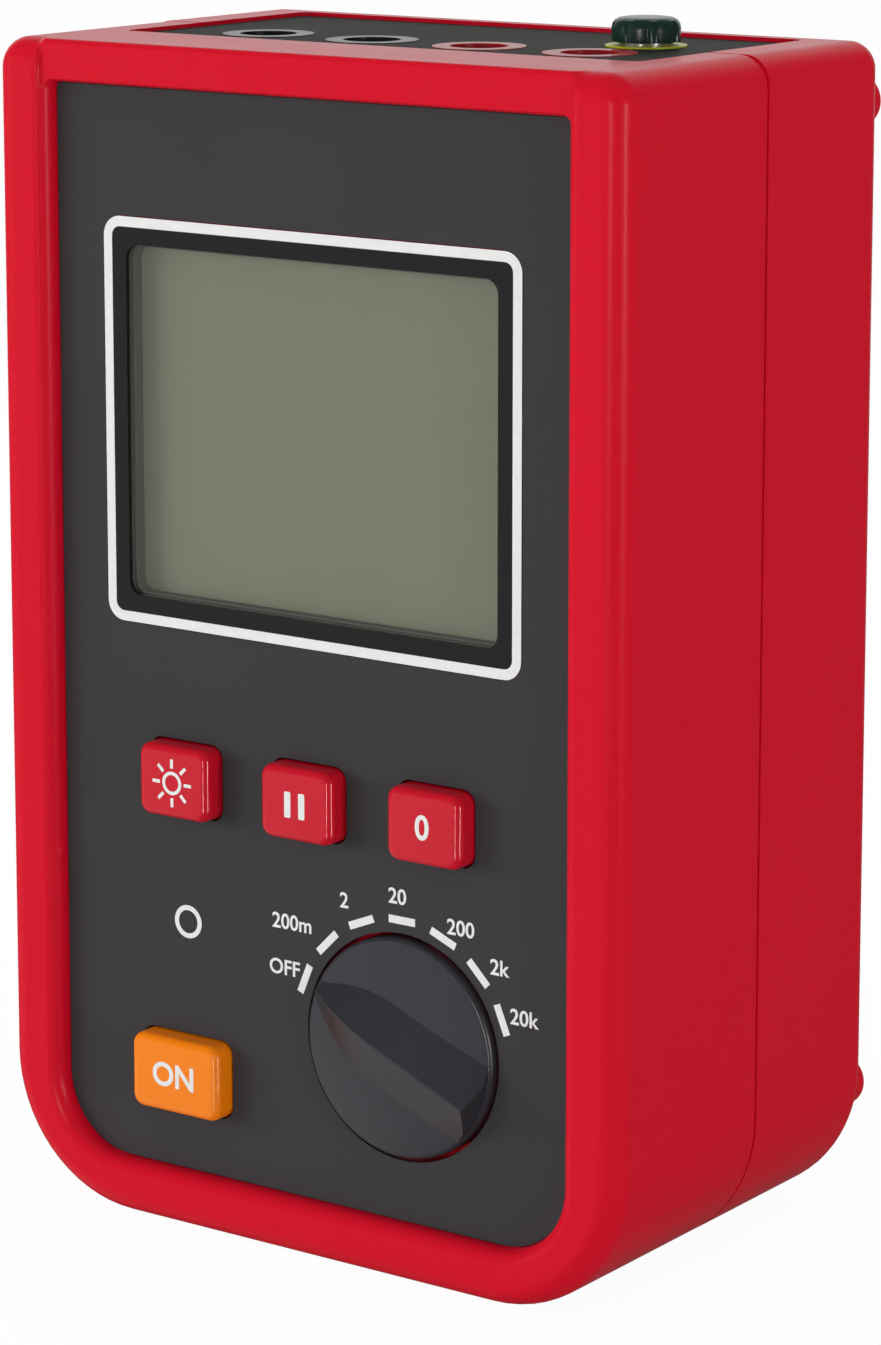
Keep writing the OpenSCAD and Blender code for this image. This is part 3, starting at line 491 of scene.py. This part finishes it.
# The display: a black moulded frame set into the panel, with a clear acrylic window glued in behind its lip,
# in front of a liquid-crystal glass that shows no digits. A thin grey gasket lines the opening.
# The frame is glossier than the panel, so its edge stands out from it.
frame_black = plastic("frame_black_gloss_abs", "#1C1C1E", "#19191B", 0.22, 0.5, 0.004, 0.25)

# acrylic: nearly clear, with a faint mirror image on its outer faces only
window, tree = blank("window_clear_acrylic")
bend = add(tree, "ShaderNodeFresnel", {"IOR": 1.49})
clear = add(tree, "ShaderNodeBsdfTransparent", {"Color": srgb("#F6F8F5")})
shine = add(tree, "ShaderNodeBsdfAnisotropic", {"Color": white, "Roughness": 0.04})
inside = add(tree, "ShaderNodeNewGeometry").outputs["Backfacing"]
outside = add(tree, "ShaderNodeMath", {0: 1, 1: inside}, operation="SUBTRACT")
part = add(tree, "ShaderNodeMath", {0: bend.outputs[0], 1: outside.outputs[0]}, operation="MULTIPLY")
both = add(tree, "ShaderNodeMixShader", {0: part.outputs[0], 1: clear.outputs[0], 2: shine.outputs[0]})
add(tree, "ShaderNodeOutputMaterial", {"Surface": both.outputs[0]})

# the window's front lies back, just behind the frame's lip, so that the lip shows its own depth
lip_gap, window_gap = 0.03 * mm, 0.01 * mm
rebate_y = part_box("front_panel")[1].y - lip_gap
lens = merged_copy("window_lens", "window_lens_moulding")
for vert in lens.data.vertices:
    if vert.co.y < rebate_y:
        vert.co.y = rebate_y + window_gap
lens.data.materials.clear()
lens.data.materials.append(window)
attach(lens, "case")
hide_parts("window_lens")

# polariser: an olive grey with a hardly seen cloud, a little dull
cloud_mm = 14
lcd, tree = blank("lcd_polariser_glass")
place = add(tree, "ShaderNodeTexCoord").outputs["Object"]
cloud = add(tree, "ShaderNodeTexNoise", {"Vector": place, "Scale": 1 / (cloud_mm * mm), "Detail": 2})
tint = add(tree, "ShaderNodeMix", {
    0: cloud.outputs["Fac"], 6: srgb("#8E8B7D"), 7: srgb("#8C897B"),
}, data_type="RGBA")
skin = add(tree, "ShaderNodeBsdfPrincipled", {"Base Color": tint.outputs[2], "Roughness": 0.3, "IOR": 1.5})
add(tree, "ShaderNodeOutputMaterial", {"Surface": skin.outputs[0]})
dress(lcd, "lcd_glass")


def framed(rows):
    """A closed frame: each outline is how far it lies inside the display frame's own, its radius and its y.

    The faces are set by hand, because bridge_loops twists where the last outline meets the first.
    """
    low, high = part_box("display_frame")
    middle = (low.z + high.z) / 2
    bm = bmesh.new()
    loops = []
    for inset, radius, y in rows:
        edges = outline_ring(bm, high.x - inset, low.z + inset, high.z - inset, radius, radius, y)
        verts = {v for e in edges for v in e.verts}
        loops.append(sorted(verts, key=lambda v: atan2(v.co.z - middle, v.co.x)))
    for first, second in zip(loops, loops[1:] + loops[:1]):
        for i in range(len(first)):
            bm.faces.new((first[i - 1], first[i], second[i], second[i - 1]))
    closed(bm)
    return bm


# the frame with its rounded inner corners and the rebate that holds the window
low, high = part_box("display_frame")
frame_r, opening_r, seat_r = 3 * mm, 2.2 * mm, 0.65 * mm
rim_w, seat_w = 4 * mm, 1.45 * mm
bezel = shown("display_frame_moulding", framed([
    (0, frame_r, high.y),
    (0, frame_r, low.y),
    (rim_w, opening_r, low.y),
    (rim_w, opening_r, rebate_y),
    (seat_w, seat_r, rebate_y),
    (seat_w, seat_r, high.y),
]))
bezel.data.materials.append(frame_black)
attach(bezel, "case")
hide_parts("display_frame")

# the gasket: dull grey elastomer, a lip under the frame, a thin wall round the window, a thick one behind
gasket_grey = plastic("gasket_grey_elastomer", "#6A6461", "#645E5B", 0.5, 0.4, 0.004, 0.2)
tuck, play, thin, thick = 0.2 * mm, 0.02 * mm, 0.12 * mm, 0.4 * mm
wall_r, window_r, thick_r = 0.5 * mm, 0.55 * mm, 2 * mm
lip_play, floor_play, glass_play = 0.004 * mm, 0.005 * mm, 0.04 * mm
lip_y, floor_y = rebate_y + lip_play, high.y - floor_play
window_back_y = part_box("window_lens")[1].y + window_gap
glass_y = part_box("lcd_glass")[0].y - glass_play
gasket = shown("display_gasket", framed([
    (rim_w - tuck, wall_r, lip_y),
    (rim_w + thin, window_r, lip_y),
    (rim_w + thin, window_r, window_back_y),
    (rim_w + thick, thick_r, window_back_y),
    (rim_w + thick, thick_r, glass_y),
    (rim_w + play, wall_r, glass_y),
    (rim_w + play, wall_r, floor_y),
    (rim_w - tuck, wall_r, floor_y),
]))
gasket.data.materials.append(gasket_grey)
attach(gasket, "case")

# The push-buttons: moulded ABS caps, each with a flange that stops behind the panel and a small plunger.
# Their polished mould gives sharper highlights than the case has, and the prints on them are generic signs.
red_key = plastic("key_red_gloss_abs", "#D01028", "#CC0F27", 0.13, 0.6, 0.002, 0.45)
orange_key = plastic("key_orange_gloss_abs", "#FF8A06", "#FF8404", 0.13, 0.6, 0.002, 0.45)
flange_room, flange_t = 1.1 * mm, 1.2 * mm
flange_r, cap_edge_r, cap_sharp = 3.0 * mm, 1.25 * mm, radians(50)
for node, body, slot, material in (
    ("light_button", "light_key", "key_red", red_key),
    ("hold_button", "hold_key", "key_red", red_key),
    ("zero_button", "zero_key", "key_red", red_key),
    ("test_button", "test_key", "key_orange", orange_key),
):
    low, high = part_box(node)
    bm = bmesh.new()
    back = rounded_face(bm, low.x, high.x, low.z, high.z, high.y, flange_r)
    flange = pulled(bm, [back], -flange_t)
    bmesh.ops.inset_region(bm, faces=flange, thickness=flange_room, use_even_offset=True)
    cap = pulled(bm, flange, low.y - high.y + flange_t)
    bmesh.ops.bevel(
        bm, geom=cap[0].edges[:], offset=cap_edge_r, affect="EDGES", segments=6, profile=0.5, material=-1
    )
    closed(bm)
    for face in bm.faces:
        face.smooth = True
    piece = shown(node + "_cap", bm)
    piece.data.set_sharp_from_angle(angle=cap_sharp)
    piece.data.materials.append(material)
    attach(piece, body)
    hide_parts(node)

key_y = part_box("light_button")[0].y
light_x, zero_x, key_z = -22.4 * mm, 22.4 * mm, 68.0 * mm
test_x, test_z = -22.7 * mm, 23.4 * mm

# a small sun: a ring with eight rays
sun_r, sun_w = 1.75 * mm, 0.5 * mm
rays, ray_reach, ray_l, ray_w = 8, 2.9 * mm, 1.35 * mm, 0.5 * mm
bm = bmesh.new()
ink_ring(bm, light_x, key_y, key_z, sun_r, sun_w, 40)
for i in range(rays):
    ink_bar(bm, light_x, key_y, key_z, ray_reach, 2 * pi * i / rays, ray_l, ray_w)
bmesh.ops.recalc_face_normals(bm, faces=bm.faces)
inked(shown("light_button_print", bm), "light_key")

# two upright bars
bar_x, bar_half_w, bar_half_h, bar_r = 1.25 * mm, 0.55 * mm, 1.9 * mm, 0.2 * mm
bm = bmesh.new()
for x in (-bar_x, bar_x):
    face = rounded_face(
        bm, x - bar_half_w, x + bar_half_w, key_z - bar_half_h, key_z + bar_half_h, key_y - ink_t, bar_r, 3
    )
    pulled(bm, [face], ink_t)
closed(bm)
inked(shown("hold_button_print", bm), "hold_key")

key_letter_h, zero_bold, test_bold = 3.6 * mm, 0.1 * mm, 0.12 * mm
lettering("zero_button_print", (("0", zero_x, key_z),), key_y, key_letter_h, zero_bold, "zero_key")
lettering("test_button_print", (("ON", test_x, test_z),), key_y, key_letter_h, test_bold, "test_key")

# acetal plungers: dark brown, with the waxy half-gloss of a bearing plastic
brown = plastic("plunger_brown_acetal", "#3B2A20", "#35261D", 0.4, 0.5, 0.004)
dress(brown, "light_plunger", "hold_plunger", "zero_plunger", "test_plunger")

# The range knob: one black ABS moulding, a low dome with a wedge-shaped grip whose sharp end is the pointer.
# Its satin face shows the dome and the wedge's flanks as soft greys, and the crest as a fine light line.
knob_black = plastic("knob_black_satin_abs", "#2E2F35", "#2B2C32", 0.28, 0.4, 0.003, 0.6)
# the pointer rests at the OFF mark
knob_angle = radians(156)
knob_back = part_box("range_knob")[1].y - panel_y


def spun(points, axis, steps):
    """A closed solid turned from an outline about an axis through the origin."""
    bm = bmesh.new()
    verts = [bm.verts.new(point) for point in points]
    edges = [bm.edges.new(pair) for pair in zip(verts, verts[1:])]
    bmesh.ops.spin(
        bm, geom=verts + edges, cent=(0, 0, 0), axis=axis, angle=2 * pi, steps=steps,
        use_merge=True, use_duplicate=False,
    )
    closed(bm)
    return bm


# disc: a domed face, a rounded edge, a skirt that reaches behind the panel, and the shaft
rim_rise, dome_rise = 1.0 * mm, 2.2 * mm
face_r, skirt_r, shaft_r, skirt_back = 15.6 * mm, 16.2 * mm, 4 * mm, 3.0 * mm
dome_steps = 10
profile = [(0, -dome_rise)]
for i in range(1, dome_steps + 1):
    out = i / dome_steps
    profile.append((face_r * out, -rim_rise - (dome_rise - rim_rise) * (1 - out ** 2)))
for inset, drop in ((0.25 * mm, 0.15 * mm), (0.05 * mm, 0.45 * mm), (0, 0.9 * mm)):
    profile.append((skirt_r - inset, drop - rim_rise))
profile += [(skirt_r, skirt_back), (shaft_r, skirt_back), (shaft_r, knob_back), (0, knob_back)]
knob = shown("range_knob_grip", spun([(r, y, 0) for r, y in profile], (0, 1, 0), 96))


def eased(share):
    """Rises from 0 to 1, fast at first and then flattening out."""
    return 1 - (1 - min(1, share)) ** 2


# wedge: three-cornered sections from the pointer to the cut end, each as wide at its foot as the dome asks
tip_reach, wedge_l, foot_depth = 16.4 * mm, 30.8 * mm, 0.6 * mm
tip_half, half_gain, half_drift, widen_share = 0.5 * mm, 5.6 * mm, 0.4 * mm, 0.45
tip_crest, crest_gain, crest_fall, rise_share = 1.4 * mm, 3.3 * mm, 0.4 * mm, 0.42
sections = 28
bm = bmesh.new()
last = None
for i in range(sections + 1):
    u = i / sections
    along = tip_reach - wedge_l * u
    half = tip_half + half_gain * eased(u / widen_share) + half_drift * u
    falling = max(0, (u - rise_share) / (1 - rise_share))
    crest = tip_crest + crest_gain * eased(u / rise_share) - crest_fall * falling
    r = min(face_r, (along ** 2 + half ** 2) ** 0.5)
    dome = rim_rise + (dome_rise - rim_rise) * (1 - (r / face_r) ** 2)
    foot = half * (crest + foot_depth) / (crest - dome)
    corners = ((foot_depth, -foot), (-crest, 0), (foot_depth, foot))
    section = [bm.verts.new((along, y, z)) for y, z in corners]
    if last:
        for j in range(2):
            bm.faces.new((last[j], last[j + 1], section[j + 1], section[j]))
        bm.faces.new((last[2], last[0], section[0], section[2]))
    else:
        bm.faces.new(section)
    last = section
end = [bm.verts.new((-skirt_r, foot_depth, z)) for z in (last[0].co.z, last[2].co.z)]
bm.faces.new((last[1], end[0], end[1]))
bm.faces.new((last[0], end[0], last[1]))
bm.faces.new((last[2], last[1], end[1]))
bm.faces.new((last[0], last[2], end[1], end[0]))
closed(bm)

# the crest and the edges of the cut end are rounded a little where they stand clear of the disc
above, crest_bend, crest_r = -0.5 * mm, radians(20), 0.3 * mm
crest_edges = [
    e for e in bm.edges
    if len(e.link_faces) == 2 and all(v.co.y < above for v in e.verts) and e.calc_face_angle(0) > crest_bend
]
bmesh.ops.bevel(
    bm, geom=crest_edges, offset=crest_r, affect="EDGES", segments=4, profile=0.5, material=-1
)
closed(bm)
wedge = shown("knob_wedge", bm)

# the wedge ends with the disc's face, and both become one moulding
trim_r, trim_l = 15.7 * mm, 16 * mm
bm = bmesh.new()
bmesh.ops.create_cone(
    bm, segments=96, radius1=trim_r, radius2=trim_r, depth=trim_l, cap_ends=True,
    matrix=Matrix.Rotation(pi / 2, 4, "X"),
)
cut(wedge, "INTERSECT", shown("knob_round", bm))
cut(knob, "UNION", wedge)
knob.data.transform(
    Matrix.Translation((dial_x, panel_y, dial_z)) @ Matrix.Rotation(-knob_angle, 4, "Y")
)
knob.data.materials.clear()
knob.data.materials.append(knob_black)

# the face keeps every crease of the wedge, the skirt only its sharp edges
crease_r, face_crease, skirt_crease = 15.3 * mm, radians(8.5), radians(40)
centre = Vector((dial_x, 0, dial_z))
bm = bmesh.new()
bm.from_mesh(knob.data)
for face in bm.faces:
    face.smooth = True
for edge in bm.edges:
    middle = (edge.verts[0].co + edge.verts[1].co) / 2
    middle.y = 0
    limit = face_crease if (middle - centre).length < crease_r else skirt_crease
    edge.smooth = len(edge.link_faces) == 2 and edge.calc_face_angle(0) < limit
bm.to_mesh(knob.data)
bm.free()
knob.modifiers.new("flat_faces", "WEIGHTED_NORMAL").keep_sharp = True
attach(knob, "selector")
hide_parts("range_knob")

# The range switch and the display's holder: a white rotor with sprung wipers and balls that click in a
# notched ring, and the parts of nylon, acetal and silicone rubber near it. All have plain, dull faces.
dull_black = plastic("inner_black_nylon", "#26282A", "#222426", 0.5, 0.5, 0.006)
dress(dull_black, "lcd_holder", "detent_ring", "power_transistor", "buzzer")
dull_white = plastic("inner_white_acetal", "#E6E8E3", "#DFE1DC", 0.45, 0.5, 0.005)
dress(dull_white, "lcd_backlight", "switch_rotor", "board_header")
strip_pink = plastic("contact_strip_silicone", "#D8A6A0", "#D09C96", 0.6, 0.4, 0.01)
dress(strip_pink, "lcd_contact_strips")


def metal(name, colour, roughness, scratch_mm, stretch):
    """Bright metal: marks drawn out along one way catch the light, coarser than the real ones, to show."""
    brighter, duller = 0.06, 0.08
    material, tree = blank(name)
    place = add(tree, "ShaderNodeTexCoord").outputs["Object"]
    along = add(tree, "ShaderNodeMapping", {"Vector": place, "Scale": stretch})
    marks = add(tree, "ShaderNodeTexNoise", {
        "Vector": along.outputs[0], "Scale": 1 / (scratch_mm * mm), "Detail": 3,
    })
    dull = add(tree, "ShaderNodeMapRange", {
        "Value": marks.outputs["Fac"], "To Min": roughness - brighter, "To Max": roughness + duller,
    })
    skin = add(tree, "ShaderNodeBsdfPrincipled", {
        "Base Color": srgb(colour), "Metallic": 1, "Roughness": dull.outputs[0],
    })
    add(tree, "ShaderNodeOutputMaterial", {"Surface": skin.outputs[0]})
    return material


# brass: warm yellow with fine turning rings; nickel plate: a bright, slightly uneven grey
brass = metal("contact_brass_turned", "#D9B45A", 0.28, 0.4, (1, 1, 6))
dress(brass, "c1_contact", "p1_contact", "p2_contact", "c2_contact", "rotor_wipers")
steel = metal("steel_nickel_plated", "#C9CCCE", 0.25, 0.5, (1, 1, 1))
dress(
    steel, "guard_post_stud", "guard_post_washer", "guard_post_locknut", "key_switches", "rotor_screw",
    "detent_balls", "board_screws", "battery_contacts", "door_screws", "case_screws",
)

# The test lamp: a red light-emitting diode, cast in epoxy, and an acrylic rod that brings its light to the
# panel. The rod is smoked, so that the unlit lamp looks nearly as dark as the panel.
lamp_red = plastic("lamp_red_epoxy", "#B51E1E", "#A81B1B", 0.15, 0.6, 0.002)
dress(lamp_red, "test_lamp")
rod = plastic("pipe_smoked_acrylic", "#2E2E31", "#2A2A2D", 0.12, 0.6, 0.001)
dress(rod, "lamp_light_pipe")

# The terminal plate: a dark ABS moulding with a raised face, let into the top of the case. Its dull grain
# hardly shines beside the glossier nylon sockets, which lie in round recesses.
plate_dark = plastic("plate_dark_matt_abs", "#20211C", "#1C1D19", 0.6, 0.3, 0.008, 0.1)
plate_lift, recess_play, recess_h = 0.9 * mm, 0.08 * mm, 4 * mm
plate_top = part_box("terminal_plate")[1].z
plate = merged_copy("terminal_plate", "terminal_plate_moulding")
for vert in plate.data.vertices:
    if vert.co.z > plate_top - hair:
        vert.co.z += plate_lift
bm = bmesh.new()
for node in ("c1_socket", "p1_socket", "p2_socket", "c2_socket", "guard_post_collar"):
    low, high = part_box(node)
    r = (high.x - low.x) / 2 + recess_play
    middle = ((low.x + high.x) / 2, (low.y + high.y) / 2, plate_top + recess_h / 2)
    bmesh.ops.create_cone(
        bm, segments=64, radius1=r, radius2=r, depth=recess_h, cap_ends=True,
        matrix=Matrix.Translation(middle),
    )
cut(plate, "DIFFERENCE", shown("plate_recesses", bm))
smoothed(plate, plate_dark)
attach(plate, "case")
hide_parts("terminal_plate")

socket_black = plastic("socket_black_nylon", "#1B1B1C", "#18181A", 0.28, 0.5, 0.004)
dress(socket_black, "c1_socket", "p1_socket")
socket_red = plastic("socket_red_nylon", "#B01524", "#A81422", 0.28, 0.5, 0.004)
dress(socket_red, "p2_socket", "c2_socket")

# The guard post: a threaded stud with a fluted nylon nut over a yellow nylon collar.
# The nut's crown is rounded, which gives its dark green a small light ring round the top.
collar_yellow = plastic("collar_yellow_nylon", "#C9D020", "#C2C91C", 0.35, 0.5, 0.004)
dress(collar_yellow, "guard_post_collar")
nut_green = plastic("nut_dark_green_nylon", "#15352D", "#123028", 0.25, 0.5, 0.004)
crown_mm = (
    (0, -0.1), (4.9, -0.1), (4.98, 0.4), (4.98, 2.0),
    (4.85, 2.6), (4.5, 3.1), (3.9, 3.4), (3.2, 3.5), (0, 3.5),
)
nut_low, nut_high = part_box("guard_post_nut")
crown = spun([(r * mm, 0, nut_low.z + z * mm) for r, z in crown_mm], (0, 0, 1), 64)
bmesh.ops.translate(
    crown, vec=((nut_low.x + nut_high.x) / 2, (nut_low.y + nut_high.y) / 2, 0), verts=crown.verts
)
nut = merged_copy("guard_post_nut", "guard_post_nut_moulding")
cut(nut, "INTERSECT", shown("nut_crown", crown))
smoothed(nut, nut_green)
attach(nut, "post_nut")
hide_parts("guard_post_nut")

# The boards and what is soldered or screwed to them: glass-fibre boards under a glossy green solder mask,
# a drawn alloy strip as the current shunt, and an extruded aluminium heat sink. Both metals show fine lines.
board_green = plastic("board_green_solder_mask", "#1E5B34", "#1A522E", 0.3, 1.5, 0.01)
dress(board_green, "main_board", "terminal_board")
shunt = metal("shunt_alloy_drawn", "#A9856B", 0.35, 0.5, (6, 1, 1))
dress(shunt, "current_shunt")
sink = metal("sink_aluminium_extruded", "#A7ABAE", 0.38, 0.4, (1, 1, 8))
dress(sink, "heat_sink")

# The battery: eight cells in two layers of four, held in the bay behind the door by sprung contacts.
# Each wears a blue shrink sleeve, whose thin film shines a little.
cell = plastic("cell_blue_shrink_sleeve", "#2458A6", "#1F4F98", 0.3, 1.0, 0.004)
dress(cell, "battery_cells")
